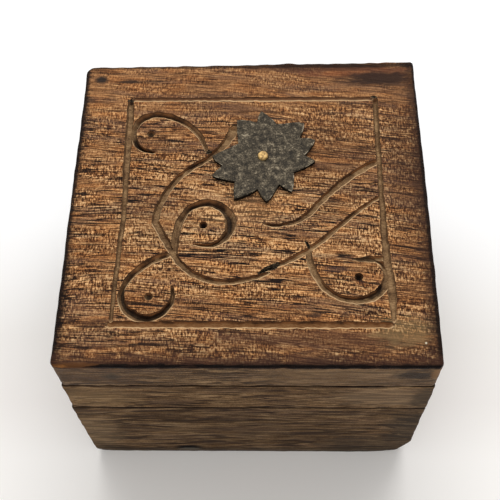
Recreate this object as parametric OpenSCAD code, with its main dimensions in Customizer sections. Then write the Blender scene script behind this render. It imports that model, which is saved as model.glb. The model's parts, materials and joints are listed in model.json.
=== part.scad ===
// Square wooden puzzle box. A carved lid lifts off a lined base, and two hidden bars in the
// lid's rim lock it: their pegs run in L-shaped notches in the liner.
// The origin is the middle of the underside. +Z is up and the front faces -Y.

/* [Box] */
// Width of the box, left to right
box_w = 102; // [90:1:150]
// Depth of the box, front to back
box_d = 100.5; // [90:0.5:150]
// Thickness of the wall and rim boards
wall_t = 11; // [10:0.5:15]
// Radius of the upright outer corners
corner_r = 2; // [1:0.5:4]

/* [Lid] */
// Thickness of the carved lid board
lid_t = 14; // [11:0.5:20]
// Height of the rim boards under the lid board
rim_h = 17.5; // [16:0.5:26]

/* [Base] */
// Height of the base's wall boards
base_h = 45.5; // [30:0.5:80]
// Thickness of the bottom board
bottom_t = 5; // [3:0.5:8]
// Width of the rabbet in the walls that seats the bottom board
rabbet_w = 5; // [4:0.5:6]
// Radius of the brads that hold the bottom board
brad_r = 0.6; // [0.4:0.1:1]
// Length of the brads, head included
brad_l = 14; // [10:1:20]
// Radius of the brads' heads
brad_head_r = 1.2; // [1.1:0.1:2]
// Thickness of the brads' heads
brad_head_t = 0.5; // [0.3:0.1:1]
// Distance from a brad to the end of its board
brad_inset = 14; // [12:1:20]

/* [Liner] */
// Thickness of the liner boards inside the base
liner_t = 4; // [3:0.5:6]
// Height of the lip, where the liner stands up into the rim
lip_h = 12; // [11:0.5:15]
// Gap between the lip and the rim, on each side
lip_clear = 0.3; // [0.1:0.05:0.6]

/* [Lock] */
// Length of a lock bar
bar_l = 30; // [20:1:40]
// Thickness of a lock bar
bar_t = 4.6; // [4:0.1:5]
// Gap round a lock bar in its channel, on each side
bar_clear = 0.2; // [0.1:0.05:0.4]
// How far a lock bar slides from unlocked to locked
bar_travel = 8; // [5:0.5:12]
// Wood left under a lock bar's channel
channel_floor = 3.5; // [2:0.5:4.5]
// Wood left between a lock bar's channel and the inside of the rim
channel_skin = 2.8; // [2:0.1:3.5]
// Radius of a lock peg
peg_r = 1.5; // [1:0.1:1.8]
// Height of a lock peg above the channel's floor
peg_rise = 4; // [3.5:0.5:4.5]
// Gap round a lock peg in its notch, on each side
peg_clear = 0.4; // [0.2:0.1:0.6]
// How far a lock peg's tip stays behind the liner's inner face
peg_back = 0.5; // [0.2:0.1:1.5]

/* [Flower] */
// Reach of the flower's petals from its middle
flower_r = 16; // [13:0.5:20]
// Reach of the valleys between the petals
valley_r = 12; // [9:0.5:12.5]
// Thickness of the sheet-iron flower
flower_t = 0.9; // [0.5:0.1:2]
// Radius of the brass pin's head
pin_head_r = 1.5; // [1.2:0.1:3]
// Height of the brass pin's domed head
pin_head_h = 0.8; // [0.5:0.1:1.2]
// Radius of the brass pin's shank
pin_r = 0.6; // [0.4:0.1:1]
// Length of the brass pin's shank in the lid board
pin_l = 9; // [5:0.5:10]

/* [Carving] */
// Width of the carved grooves
groove_w = 2.2; // [1.2:0.1:3]
// Depth of the carved grooves
groove_deep = 1.2; // [0.5:0.1:2.5]
// Width of the carved border's grooves
border_w = 1.9; // [1:0.1:3]
// Depth of the carved border's grooves
border_deep = 0.9; // [0.4:0.1:2]
// Distance from the lid's left edge to the border groove
border_left = 15; // [8:0.5:18]
// Distance from the lid's right edge to the border groove
border_right = 12.5; // [8:0.5:18]
// Distance from the lid's back edge to the border groove
border_back = 13; // [8:0.5:18]
// Distance from the lid's front edge to the border groove
border_front = 12; // [8:0.5:18]
// Radius of the drilled eye in the middle of each curl
eye_r = 1.1; // [0.6:0.1:1.6]
// Depth of the drilled eyes
eye_deep = 2; // [1:0.5:4]

/* [Hidden] */
$fn = 64;
front = -1;
back = 1;
left = -1;
right = 1;
cut = 1; // how far a cut runs past the face it opens

// Colours
carved_wood = [0.47, 0.29, 0.16];
rim_wood = [0.36, 0.27, 0.19];
base_wood = [0.33, 0.25, 0.18];
raw_wood = [0.62, 0.47, 0.31];
bar_wood = [0.30, 0.18, 0.10];
iron = [0.24, 0.24, 0.23];
steel = [0.55, 0.55, 0.56];
brass = [0.83, 0.66, 0.33];

// Levels and inner sizes
lid_z = base_h + rim_h;
top_z = lid_z + lid_t;
inner_w = box_w - 2 * wall_t;
inner_d = box_d - 2 * wall_t;
lip_z = base_h + lip_h;

// Lock: the channel lies in the rim board, and the notch in the liner
channel_w = bar_t + 2 * bar_clear;
channel_l = bar_l + bar_travel + 2 * bar_clear;
channel_z = base_h + channel_floor;
channel_y = inner_d / 2 + channel_skin + channel_w / 2;
bar_h = lid_z - channel_z - 2 * bar_clear;
peg_z = channel_z + peg_rise;
peg_slot = peg_r + peg_clear;
peg_tip_y = inner_d / 2 - liner_t + peg_back;

// Carved field: the rectangle that the border grooves close
field_w = box_w - border_left - border_right;
field_d = box_d - border_back - border_front;
field_middle = [(border_left - border_right) / 2, (border_front - border_back) / 2];
drawn_w = 74.5; // field size that the vines below are drawn for
drawn_d = 75.5;
flower_at = [3, 16.5];
eyes = [[-30.7, 24.6], [-13.8, -7.1], [-27.8, -29.6], [29.4, -23.6]];

// Vines: [start, heading, [[radius, turn], ...]]. A positive radius turns left.
vines = [
    [[-13.8, 17.9], 100, [[17, 72], [6.9, 190]]],
    [[-5.2, 27.6], 254, [[-23.5, 42], [25.9, 54]]],
    [[-27.5, -5.8], 298, [[360, 2], [16.3, 65], [32.7, 20]]],
    [[-21.3, -16.8], 99, [[-22.7, 33], [-7.1, 172], [-6.7, 85]]],
    [[-21, -16.6], 180, [[18.2, 60], [7, 225]]],
    [[35.8, 14], 208, [[58.2, 25], [-13.7, 68]]],
    [[36.7, 2.4], 215, [[101, 10], [-55, 25]]],
    [[15.9, -14.5], 274, [[24.8, 32], [9.4, 120], [5.5, 130]]]
];
vine_step = 12; // largest turn between two points of a vine
tail_share = 0.12; // last share of a vine, which narrows to its tip
tip_share = 0.3; // width left at the tip

// Petals: [direction, reach as a share of flower_r], and [direction, share of valley_r] between them
petals = [
    [92, 0.97], [122, 0.9], [183, 0.93], [208, 1.03], [243, 1.1],
    [274, 1.04], [302, 0.97], [350, 0.97], [377, 1], [402, 1.02]
];
valleys = [
    [99, 0.96], [152, 0.7], [199, 1.03], [230, 1.04], [263, 1.04],
    [293, 0.96], [325, 0.92], [357, 1.01], [388, 1.02], [428, 0.96]
];
petal_bow = 0.06; // how far the middle of a petal's side bows out, as a share of its reach
petal_points = 4; // points along each side of a petal

// ---- Shared shapes ----

// Upright block with rounded corners, from z0 to z1
module rounded_block(z0, z1) {
    translate([0, 0, z0])
        union() {
            translate([-box_w / 2 + corner_r, -box_d / 2, 0])
                cube([box_w - 2 * corner_r, box_d, z1 - z0]);
            translate([-box_w / 2, -box_d / 2 + corner_r, 0])
                cube([box_w, box_d - 2 * corner_r, z1 - z0]);
            for (x = [left, right], y = [front, back])
                translate([x * (box_w / 2 - corner_r), y * (box_d / 2 - corner_r), 0])
                    cylinder(r = corner_r, h = z1 - z0);
        }
}

// Box centred on x and y, from z0 to z1
module slab(w, d, z0, z1) {
    translate([-w / 2, -d / 2, z0])
        cube([w, d, z1 - z0]);
}

// Front or back board of a frame, which runs the full width
module long_board(side, z0, z1) {
    intersection() {
        rounded_block(z0, z1);
        translate([0, side * (box_d - wall_t) / 2, 0])
            slab(box_w + cut, wall_t, z0, z1);
    }
}

// Left or right board of a frame, which fits between the long boards
module short_board(side, z0, z1) {
    translate([side * (box_w - wall_t) / 2, 0, 0])
        slab(wall_t, inner_d, z0, z1);
}

// Slot with round ends along x, lying across y
module peg_window(x0, x1, depth) {
    for (x = [x0, x1])
        translate([x, depth / 2, 0])
            rotate([90, 0, 0])
                cylinder(r = peg_slot, h = depth);
    translate([x0, -depth / 2, -peg_slot])
        cube([x1 - x0, depth, 2 * peg_slot]);
}

// ---- Base ----

module bottom_recess() {
    slab(inner_w + 2 * rabbet_w, inner_d + 2 * rabbet_w, -cut, bottom_t);
}

// Two brads along each side of the bottom board
module each_brad() {
    x = inner_w / 2 + rabbet_w / 2;
    y = inner_d / 2 + rabbet_w / 2;
    for (s = [left, right], e = [left, right]) {
        translate([s * x, e * (y - brad_inset), 0])
            children();
        translate([e * (x - brad_inset), s * y, 0])
            children();
    }
}

module brad() {
    cylinder(r = brad_head_r, h = brad_head_t);
    cylinder(r = brad_r, h = brad_l);
}

module base_long(side) {
    difference() {
        long_board(side, 0, base_h);
        bottom_recess();
        each_brad()
            brad();
    }
}

module base_short(side) {
    difference() {
        short_board(side, 0, base_h);
        bottom_recess();
        each_brad()
            brad();
    }
}

module base_front() { color(base_wood) base_long(front); }
module base_back() { color(base_wood) base_long(back); }
module base_left() { color(base_wood) base_short(left); }
module base_right() { color(base_wood) base_short(right); }

module bottom_board() {
    color(raw_wood)
        difference() {
            slab(inner_w + 2 * rabbet_w, inner_d + 2 * rabbet_w, 0, bottom_t);
            each_brad()
                brad();
        }
}

module bottom_brads() {
    color(steel)
        each_brad()
            brad();
}

// ---- Liner ----

// L-shaped notch for a lock peg: down from the lip's edge, then along. The back one is mirrored,
// so that one twist of the box throws both bars.
module lock_notch(side) {
    x0 = -bar_travel / 2;
    translate([0, side * (inner_d - liner_t) / 2, 0])
        mirror([side == back ? 1 : 0, 0, 0]) {
            translate([0, 0, peg_z])
                peg_window(x0, x0 + bar_travel, liner_t + 2 * cut);
            translate([x0 - peg_slot, -liner_t / 2 - cut, peg_z])
                cube([2 * peg_slot, liner_t + 2 * cut, lip_z - peg_z + cut]);
        }
}

// The lip is thinner than the liner below it by the clearance on its outside
module liner_long(side) {
    difference() {
        translate([0, side * (inner_d - liner_t) / 2, 0])
            slab(inner_w, liner_t, bottom_t, lip_z);
        lip_relief();
        lock_notch(side);
    }
}

module liner_short(side) {
    difference() {
        translate([side * (inner_w - liner_t) / 2, 0, 0])
            slab(liner_t, inner_d - 2 * liner_t, bottom_t, lip_z);
        lip_relief();
    }
}

module lip_relief() {
    difference() {
        slab(inner_w + cut, inner_d + cut, base_h, lip_z + cut);
        slab(inner_w - 2 * lip_clear, inner_d - 2 * lip_clear, base_h - cut, lip_z + 2 * cut);
    }
}

module liner_front() { color(raw_wood) liner_long(front); }
module liner_back() { color(raw_wood) liner_long(back); }
module liner_left() { color(raw_wood) liner_short(left); }
module liner_right() { color(raw_wood) liner_short(right); }

// ---- Lid rim and its lock ----

module rim_long(side) {
    x0 = -bar_travel / 2;
    difference() {
        long_board(side, base_h, lid_z);
        translate([0, side * channel_y, 0])
            slab(channel_l, channel_w, channel_z, lid_z + cut);
        translate([0, side * (channel_y - channel_w), peg_z])
            peg_window(x0, x0 + bar_travel, channel_w + channel_skin);
    }
}

module rim_front() { color(rim_wood) rim_long(front); }
module rim_back() { color(rim_wood) rim_long(back); }
module rim_left() { color(rim_wood) short_board(left, base_h, lid_z); }
module rim_right() { color(rim_wood) short_board(right, base_h, lid_z); }

// Places a bar or peg at its unlocked end: left in the front rim, right in the back rim
module at_lock(side) {
    translate([side * bar_travel / 2, side * channel_y, 0])
        children();
}

module lock_peg(side) {
    outer = channel_y + bar_t / 2;
    translate([side * bar_travel / 2, 0, peg_z])
        rotate([-side * 90, 0, 0])
            translate([0, 0, peg_tip_y])
                cylinder(r = peg_r, h = outer - peg_tip_y);
}

module lock_bar(side) {
    difference() {
        at_lock(side)
            slab(bar_l, bar_t, channel_z, channel_z + bar_h);
        translate([side * bar_travel / 2, side * (channel_y + bar_t), peg_z])
            rotate([side * 90, 0, 0])
                cylinder(r = peg_r, h = 2 * bar_t);
    }
}

module lock_bar_front() { color(bar_wood) lock_bar(front); }
module lock_bar_back() { color(bar_wood) lock_bar(back); }
module lock_peg_front() { color(steel) lock_peg(front); }
module lock_peg_back() { color(steel) lock_peg(back); }

// ---- Carved lid board ----

// Where a turn of a degrees on radius r ends, as [point, heading]
function turned(p, h, r, a) =
    let (end = h + sign(r) * a)
    [p + r * [-sin(h), cos(h)] + r * [sin(end), -cos(end)], end];

// Points and headings along a vine's arcs
function along(p, h, arcs, i = 0) =
    i == len(arcs) ? [[p, h]] :
    let (r = arcs[i][0], a = arcs[i][1], n = max(2, ceil(a / vine_step)), end = turned(p, h, r, a))
    concat(
        [for (k = [0 : n - 1]) turned(p, h, r, a * k / n)],
        along(end[0], end[1], arcs, i + 1)
    );

function on_lid(p) = field_middle + [p[0] * field_w / drawn_w, p[1] * field_d / drawn_d];

// Half the groove's width at share t of a vine
function half_width(t) =
    groove_w / 2 * (t < 1 - tail_share ? 1 : 1 - (1 - tip_share) * (t - 1 + tail_share) / tail_share);

// One edge of a vine's groove
function edge(spine, side) =
    let (n = len(spine) - 1)
    [for (i = [0 : n])
        let (h = spine[i][1])
        on_lid(spine[i][0]) + side * half_width(i / n) * [-sin(h), cos(h)]];

function reversed(list) = [for (i = [len(list) - 1 : -1 : 0]) list[i]];

module groove(outline, deep) {
    translate([0, 0, top_z - deep])
        linear_extrude(deep + cut)
            polygon(outline);
}

module vine(v) {
    spine = along(v[0], v[1], v[2]);
    groove(concat(edge(spine, left), reversed(edge(spine, right))), groove_deep);
}

module border() {
    reach = border_w / 2;
    translate([field_middle[0], field_middle[1], top_z - border_deep]) {
        for (x = [left, right])
            translate([x * field_w / 2 - reach, -field_d / 2 - reach, 0])
                cube([border_w, field_d + border_w, border_deep + cut]);
        for (y = [front, back])
            translate([-field_w / 2 - reach, y * field_d / 2 - reach, 0])
                cube([field_w + border_w, border_w, border_deep + cut]);
    }
}

module lid_board() {
    color(carved_wood)
        difference() {
            rounded_block(lid_z, top_z);
            border();
            for (v = vines)
                vine(v);
            for (e = eyes)
                translate([each on_lid(e), top_z - eye_deep])
                    cylinder(r = eye_r, h = eye_deep + cut);
            translate([each on_lid(flower_at), top_z - pin_l])
                cylinder(r = pin_r, h = pin_l + cut);
        }
}

// ---- Flower ----

function polar(direction, reach) = reach * [cos(direction), sin(direction)];

// Points from a to b, bowed out from the middle of the flower
function bowed(a, b) =
    [for (k = [0 : petal_points - 1])
        let (t = k / petal_points)
        (a + t * (b - a)) * (1 + petal_bow * 4 * t * (1 - t))];

function flower_outline() =
    [for (i = [0 : len(petals) - 1])
        let (
            j = (i + len(valleys) - 1) % len(valleys),
            before = polar(valleys[j][0], valleys[j][1] * valley_r),
            tip = polar(petals[i][0], petals[i][1] * flower_r),
            after = polar(valleys[i][0], valleys[i][1] * valley_r)
        )
        each concat(bowed(before, tip), bowed(tip, after))];

module flower() {
    color(iron)
        translate([each on_lid(flower_at), top_z])
            difference() {
                linear_extrude(flower_t)
                    polygon(flower_outline());
                translate([0, 0, -cut])
                    cylinder(r = pin_r, h = flower_t + 2 * cut);
            }
}

// Pin with a domed head on the flower and a plain shank in the lid board
module flower_pin() {
    dome_r = (pow(pin_head_r, 2) + pow(pin_head_h, 2)) / (2 * pin_head_h);
    color(brass)
        translate([each on_lid(flower_at), top_z + flower_t]) {
            intersection() {
                translate([0, 0, pin_head_h - dome_r])
                    sphere(r = dome_r);
                cylinder(r = pin_head_r, h = pin_head_h);
            }
            translate([0, 0, -flower_t - pin_l])
                cylinder(r = pin_r, h = flower_t + pin_l);
        }
}

base_front();
base_back();
base_left();
base_right();
bottom_board();
bottom_brads();
liner_front();
liner_back();
liner_left();
liner_right();
lid_board();
rim_front();
rim_back();
rim_left();
rim_right();
lock_bar_front();
lock_bar_back();
lock_peg_front();
lock_peg_back();
flower();
flower_pin();
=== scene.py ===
import json
import math

import bpy
import numpy as np
from mathutils import Matrix, Vector


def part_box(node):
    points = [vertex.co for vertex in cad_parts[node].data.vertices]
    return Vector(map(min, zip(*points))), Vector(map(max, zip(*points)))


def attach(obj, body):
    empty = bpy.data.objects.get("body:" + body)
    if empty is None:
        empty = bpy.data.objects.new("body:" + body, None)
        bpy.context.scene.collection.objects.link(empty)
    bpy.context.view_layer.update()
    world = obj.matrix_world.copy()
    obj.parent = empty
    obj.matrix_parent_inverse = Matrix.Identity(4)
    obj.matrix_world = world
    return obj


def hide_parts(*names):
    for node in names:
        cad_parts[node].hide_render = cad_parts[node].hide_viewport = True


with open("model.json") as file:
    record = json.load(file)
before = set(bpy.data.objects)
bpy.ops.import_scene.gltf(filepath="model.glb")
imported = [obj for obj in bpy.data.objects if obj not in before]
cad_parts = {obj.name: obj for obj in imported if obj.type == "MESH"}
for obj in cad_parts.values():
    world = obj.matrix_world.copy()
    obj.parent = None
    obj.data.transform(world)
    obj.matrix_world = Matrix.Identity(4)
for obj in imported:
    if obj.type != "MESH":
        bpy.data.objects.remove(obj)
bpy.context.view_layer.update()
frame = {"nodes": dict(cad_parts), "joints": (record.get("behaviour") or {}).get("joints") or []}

scene = bpy.context.scene

# Lengths below are in millimetres, in the CAD model's frame. Blender's are in metres, so add_mesh(),
# the lamps and the camera multiply by MM, and a material divides its places by it.
MM = 0.001
BOX = {name: np.array([list(corner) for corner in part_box(name)]) / MM for name in frame["nodes"]}
TRAVEL = {joint["child"]: joint["range_m"][1] / MM for joint in frame["joints"]}
LOW, HIGH = 0, 1  # rows of BOX
X, Y, Z = 0, 1, 2

top_z = BOX["lid_board"][HIGH][Z]
lid_z = BOX["lid_board"][LOW][Z]
base_z = BOX["base_front"][HIGH][Z]
half_w = BOX["lid_board"][HIGH][X]
half_d = BOX["lid_board"][HIGH][Y]
FACE_ZONE = 1.0  # what lies this near to the box's outside belongs to its outer faces

# -------- meshes


def ripple(points, size, seed, waves=14):
    """Smooth noise, mostly from -1 to 1, with features about size across."""
    draw = np.random.default_rng(seed)
    directions = draw.normal(size=(waves, 3))
    directions /= np.linalg.norm(directions, axis=1)[:, None]
    pace = 2 * math.pi / size * draw.uniform(0.5, 1.5, waves)
    phases = draw.uniform(0, 2 * math.pi, waves)
    return np.sin(points @ (directions * pace[:, None]).T + phases).sum(1) / math.sqrt(waves)


def smooth(t):
    """A soft step, from 0 at t = 0 to 1 at t = 1."""
    t = np.clip(t, 0, 1)
    return t * t * (3 - 2 * t)


def add_mesh(name, points, faces):
    """An object with this mesh. points are in millimetres."""
    mesh = bpy.data.meshes.new(name)
    mesh.from_pydata((np.asarray(points) * MM).tolist(), [], [list(f) for f in faces])
    made = bpy.data.objects.new(name, mesh)
    scene.collection.objects.link(made)
    return made


SHARP = math.radians(38)  # an edge that turns by more than this is shaded as a crisp one


def add_piece(made, node, body):
    """Shades a finished object, hangs it on its body, and hides the CAD node that it stands for."""
    made.data.shade_smooth()
    made.data.set_sharp_from_angle(angle=SHARP)
    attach(made, body)
    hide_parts(node)


def cut(made, cutters):
    """Takes the cutters out of an object, and deletes them. Their faces keep their own material."""
    for cutter in cutters:
        step = made.modifiers.new("cut", "BOOLEAN")
        step.operation = "DIFFERENCE"
        step.solver = "MANIFOLD"
        step.object = cutter
    graph = bpy.context.evaluated_depsgraph_get()
    result = bpy.data.meshes.new_from_object(made.evaluated_get(graph))
    result.name = made.name
    made.modifiers.clear()
    made.data = result
    for cutter in cutters:
        bpy.data.objects.remove(cutter)
    return made


# Distances of a board's mesh lines from its edges, close enough to round them
EDGE_LINES = np.array([0, 0.12, 0.3, 0.55, 0.9, 1.4, 2.0])


def divided(low, high, step):
    """Coordinates from low to high, close together near both ends and about step apart between."""
    edge = EDGE_LINES[EDGE_LINES < (high - low) / 2]
    count = max(1, round((high - low - 2 * edge[-1]) / step))
    inner = np.linspace(low + edge[-1], high - edge[-1], count + 1)[1:-1]
    return np.concatenate([low + edge, inner, (high - edge)[::-1]])


def lattice(xs, ys, zs):
    """Points and outward quads of a closed box whose faces are divided at these coordinates."""
    grid = np.stack(np.meshgrid(xs, ys, zs, indexing="ij"), -1)
    shell = np.zeros(grid.shape[:3], bool)
    shell[[0, -1]] = True
    shell[:, [0, -1]] = True
    shell[:, :, [0, -1]] = True
    ids = np.full(shell.shape, -1)
    ids[shell] = np.arange(shell.sum())
    quads = []
    for axis in (X, Y, Z):
        for end in (0, -1):
            side = np.take(ids, end, axis)
            ring = (side[:-1, :-1], side[1:, :-1], side[1:, 1:], side[:-1, 1:])
            quad = np.stack(ring, -1).reshape(-1, 4)
            outward = (end == -1) != (axis == Y)
            quads.append(quad if outward else quad[:, ::-1])
    return grid[shell], np.concatenate(quads)


# The boards' unevenness: how far it swings, as a share, and the size of its features
RADIUS_SWING, RADIUS_SIZE = 0.4, 7
DENT_SWING, DENT_SIZE = 0.35, 1.6
WEAR_SIZE = 5
LEAST_RADIUS = 0.12
DENT_FLOOR = 1.3  # above 1, so that a dent has a floor


def board(name, low, high, seed, step=1.2, radius=0.5, wear=0.06, worn_corners=(), dents=(), upright=(),
          bevel=(1, 0), skew=(0.0, 0.0)):
    """A plank with rounded, uneven edges, inside the box from low to high.

    worn_corners are (place, reach, radius): round the edges more near a place.
    dents are (place, reach, depth): push the surface in near a place, where reach has one length per axis.
    upright are (x side, y side, radius): round an upright edge, where a side is -1 or 1.
    bevel is the height and depth of the slope along the box's lower edge.
    skew is how far the box's back right corner lies in from a square corner, in x and in y.
    """
    low = np.array(low, float)
    high = np.array(high, float)
    points, quads = lattice(*(divided(low[a], high[a], step) for a in (X, Y, Z)))
    r = radius * (1 + RADIUS_SWING * ripple(points, RADIUS_SIZE, seed))
    for place, reach, extra in worn_corners:
        gap = np.linalg.norm((points - place) / reach, axis=1)
        r += extra * smooth(1 - gap)
    r = np.clip(r, LEAST_RADIUS, (high - low).min() / 2 - 0.05)[:, None]
    inner = np.clip(points, low + r, high - r)
    out = points - inner
    out /= np.linalg.norm(out, axis=1)[:, None]
    points = inner + out * r
    inward = wear * (0.5 + 0.5 * np.clip(ripple(points, WEAR_SIZE, seed + 1), -1, 1))
    for place, reach, depth in dents:
        gap = np.linalg.norm((points - place) / np.array(reach, float), axis=1)
        uneven = 1 + DENT_SWING * ripple(points, DENT_SIZE, seed + 2)
        inward += depth * smooth(DENT_FLOOR * (1 - gap)) * uneven
    points -= out * inward[:, None]
    for x_side, y_side, turn in upright:
        sides = np.array([x_side, y_side])
        start = np.where(sides > 0, high[:2], -low[:2]) - turn
        past = points[:, :2] * sides - start
        near = (past > 0).all(1)
        square = past[near].max(1) / np.linalg.norm(past[near], axis=1)
        points[near, :2] = (start + past[near] * square[:, None]) * sides
    slope = bevel[1] * np.clip(1 - points[:, Z] / bevel[0], 0, 1)
    for axis, half in ((X, half_w), (Y, half_d)):
        outside = np.abs(points[:, axis]) > half - FACE_ZONE
        points[:, axis] -= np.where(outside, np.sign(points[:, axis]) * slope, 0)
    rightward = (points[:, X] - low[X]) / (high[X] - low[X])
    backward = np.clip(points[:, Y] / high[Y], 0, 1)
    points[:, Y] -= skew[1] * rightward * backward
    points[:, X] -= skew[0] * np.clip(points[:, X] / high[X], 0, 1) * backward
    return add_mesh(name, points, quads)


def prism(name, outline, axis, start, end):
    """A closed prism: an outline in the two other axes, in their cyclic order, from start to end."""
    a, b = (axis + 1) % 3, (axis + 2) % 3
    n = len(outline)
    points = np.zeros((2 * n, 3))
    for row, level in ((0, start), (n, end)):
        points[row:row + n, a] = [p[0] for p in outline]
        points[row:row + n, b] = [p[1] for p in outline]
        points[row:row + n, axis] = level
    walls = [(i, (i + 1) % n, n + (i + 1) % n, n + i) for i in range(n)]
    return add_mesh(name, points, walls + [tuple(reversed(range(n))), tuple(range(n, 2 * n))])


def block(name, low, high):
    """A plain box, used to cut."""
    outline = [(low[X], low[Y]), (high[X], low[Y]), (high[X], high[Y]), (low[X], high[Y])]
    return prism(name, outline, Z, low[Z], high[Z])


def ring(centre, radius, count=32):
    """Points of a circle, anticlockwise."""
    turns = np.arange(count) * 2 * math.pi / count
    return np.stack([centre[0] + radius * np.cos(turns), centre[1] + radius * np.sin(turns)], -1)


def lathe(name, profile, centre, count=40):
    """A closed turned solid about an upright axis. profile goes from the top's middle to the bottom's."""
    points = [(0, 0, profile[0][1])]
    for r, z in profile[1:-1]:
        points += [(x, y, z) for x, y in ring((0, 0), r, count)]
    points.append((0, 0, profile[-1][1]))
    rows = len(profile) - 2
    faces = []
    for i in range(count):
        j = (i + 1) % count
        faces.append((0, 1 + i, 1 + j))
        for row in range(rows - 1):
            a, b = 1 + row * count, 1 + (row + 1) * count
            faces.append((a + i, b + i, b + j, a + j))
        last = 1 + (rows - 1) * count
        faces.append((last + i, len(points) - 1, last + j))
    return add_mesh(name, np.array(points) + centre, faces)


# -------- materials


def paint(red, green, blue):
    """A colour as it looks on screen, 0 to 255, in Blender's linear form."""
    shares = [c / 255 for c in (red, green, blue)]
    return tuple(c / 12.92 if c <= 0.04045 else ((c + 0.055) / 1.055) ** 2.4 for c in shares) + (1,)


MIDDLE = 0.5  # of a noise, and of a wood's ramp of shades
RAG_SIZE = (4, 1.2, 1.2)  # the largest features of a blob's ragged edge


class Nodes:
    """A material's node tree. Most methods add nodes and give back an output."""

    def __init__(self, name):
        self.material = bpy.data.materials.new(name)
        self.material.use_nodes = True
        self.tree = self.material.node_tree
        self.shader = self.tree.nodes["Principled BSDF"]
        self.place = self.vector("MULTIPLY", self.coordinates("Object"), (1 / MM,) * 3)

    def feed(self, node, inputs):
        """Links or sets a node's inputs."""
        for key, value in inputs.items():
            if isinstance(value, bpy.types.NodeSocket):
                self.tree.links.new(value, node.inputs[key])
            else:
                node.inputs[key].default_value = value

    def add(self, kind, inputs, output=0, **settings):
        node = self.tree.nodes.new("ShaderNode" + kind)
        for key, value in settings.items():
            setattr(node, key, value)
        self.feed(node, inputs)
        return node.outputs[output]

    def coordinates(self, output):
        return self.add("TexCoord", {}, output)

    def vector(self, operation, a, b):
        output = "Value" if operation == "LENGTH" else "Vector"
        return self.add("VectorMath", {0: a, 1: b}, output, operation=operation)

    def axes(self, place):
        """The x, y and z of a vector."""
        apart = self.add("SeparateXYZ", {"Vector": place}).node
        return [apart.outputs[axis] for axis in "XYZ"]

    def math(self, operation, a, b=0.0):
        return self.add("Math", {0: a, 1: b}, operation=operation)

    def plus(self, a, b):
        return self.math("ADD", a, b)

    def minus(self, a, b):
        return self.math("SUBTRACT", a, b)

    def times(self, a, b):
        return self.math("MULTIPLY", a, b)

    def noise(self, place, size, detail=2.0, roughness=0.5):
        """Noise whose features are about size across, one length per axis."""
        stretched = self.vector("MULTIPLY", place, tuple(1 / length for length in size))
        inputs = {"Vector": stretched, "Scale": 1.0, "Detail": detail, "Roughness": roughness}
        return self.add("TexNoise", inputs)

    def swing(self, layer, gain):
        """A noise's swing about its middle, times a gain."""
        return self.times(self.minus(layer, MIDDLE), gain)

    def waves(self, base, *layers):
        """base plus the swings of layers, which are (noise, gain)."""
        total = base
        for layer, gain in layers:
            total = self.plus(total, self.swing(layer, gain))
        return total

    def span(self, value, low, high, to_low=0.0, to_high=1.0):
        """A soft step, from to_low at low to to_high at high."""
        inputs = {"Value": value, "From Min": low, "From Max": high, "To Min": to_low, "To Max": to_high}
        return self.add("MapRange", inputs, interpolation_type="SMOOTHSTEP")

    def mix(self, share, a, b, blend="MIX"):
        """Colour a, with this share of colour b laid over it."""
        inputs = {"Factor": share, 6: a, 7: b}
        return self.add("Mix", inputs, 2, data_type="RGBA", blend_type=blend)

    def stain(self, colour, mask, share, tint):
        """A colour with a share of tint where mask is 1."""
        return self.mix(self.times(mask, share), colour, tint)

    def ramp(self, share, stops, light=1.0):
        """A colour from stops, which are (position, colour for paint())."""
        output = self.add("ValToRGB", {"Fac": share})
        ramp = output.node.color_ramp
        while len(ramp.elements) < len(stops):
            ramp.elements.new(MIDDLE)
        for element, (position, colour) in zip(ramp.elements, stops):
            element.position = position
            element.color = tuple(c * light for c in paint(*colour))
        return output

    def blob(self, place, centre, reach, ragged=0.5):
        """1 near centre and 0 from reach on, which has one length per axis, with a ragged edge."""
        offset = self.vector("SUBTRACT", place, centre)
        shares = self.vector("MULTIPLY", offset, tuple(1 / r for r in reach))
        gap = self.vector("LENGTH", shares, (0, 0, 0))
        rough = self.noise(place, tuple(min(most, r / 2) for most, r in zip(RAG_SIZE, reach)), 3)
        return self.span(self.plus(gap, self.swing(rough, 2 * ragged)), 0.35, 1.0, 1.0, 0.0)

    def bump(self, height, strength, distance):
        inputs = {"Height": height, "Strength": strength, "Distance": distance * MM}
        return self.add("Bump", inputs)

    def finish(self, colour, roughness, normal=None, shine=0.5, metal=0.0):
        """The finished material. shine is its specular level."""
        self.feed(self.shader, {"Base Color": colour, "Roughness": roughness, "Metallic": metal,
                                "Specular IOR Level": shine})
        if normal is not None:
            self.feed(self.shader, {"Normal": normal})
        return self.material


FAR = 1e4  # a reach that makes blob() ignore an axis
LIP = 0.22  # how far a groove's upper edge is worn back
# The colour of char, also used for painted shade
CHAR_AND_SHADE = (20, 12, 9)

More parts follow.
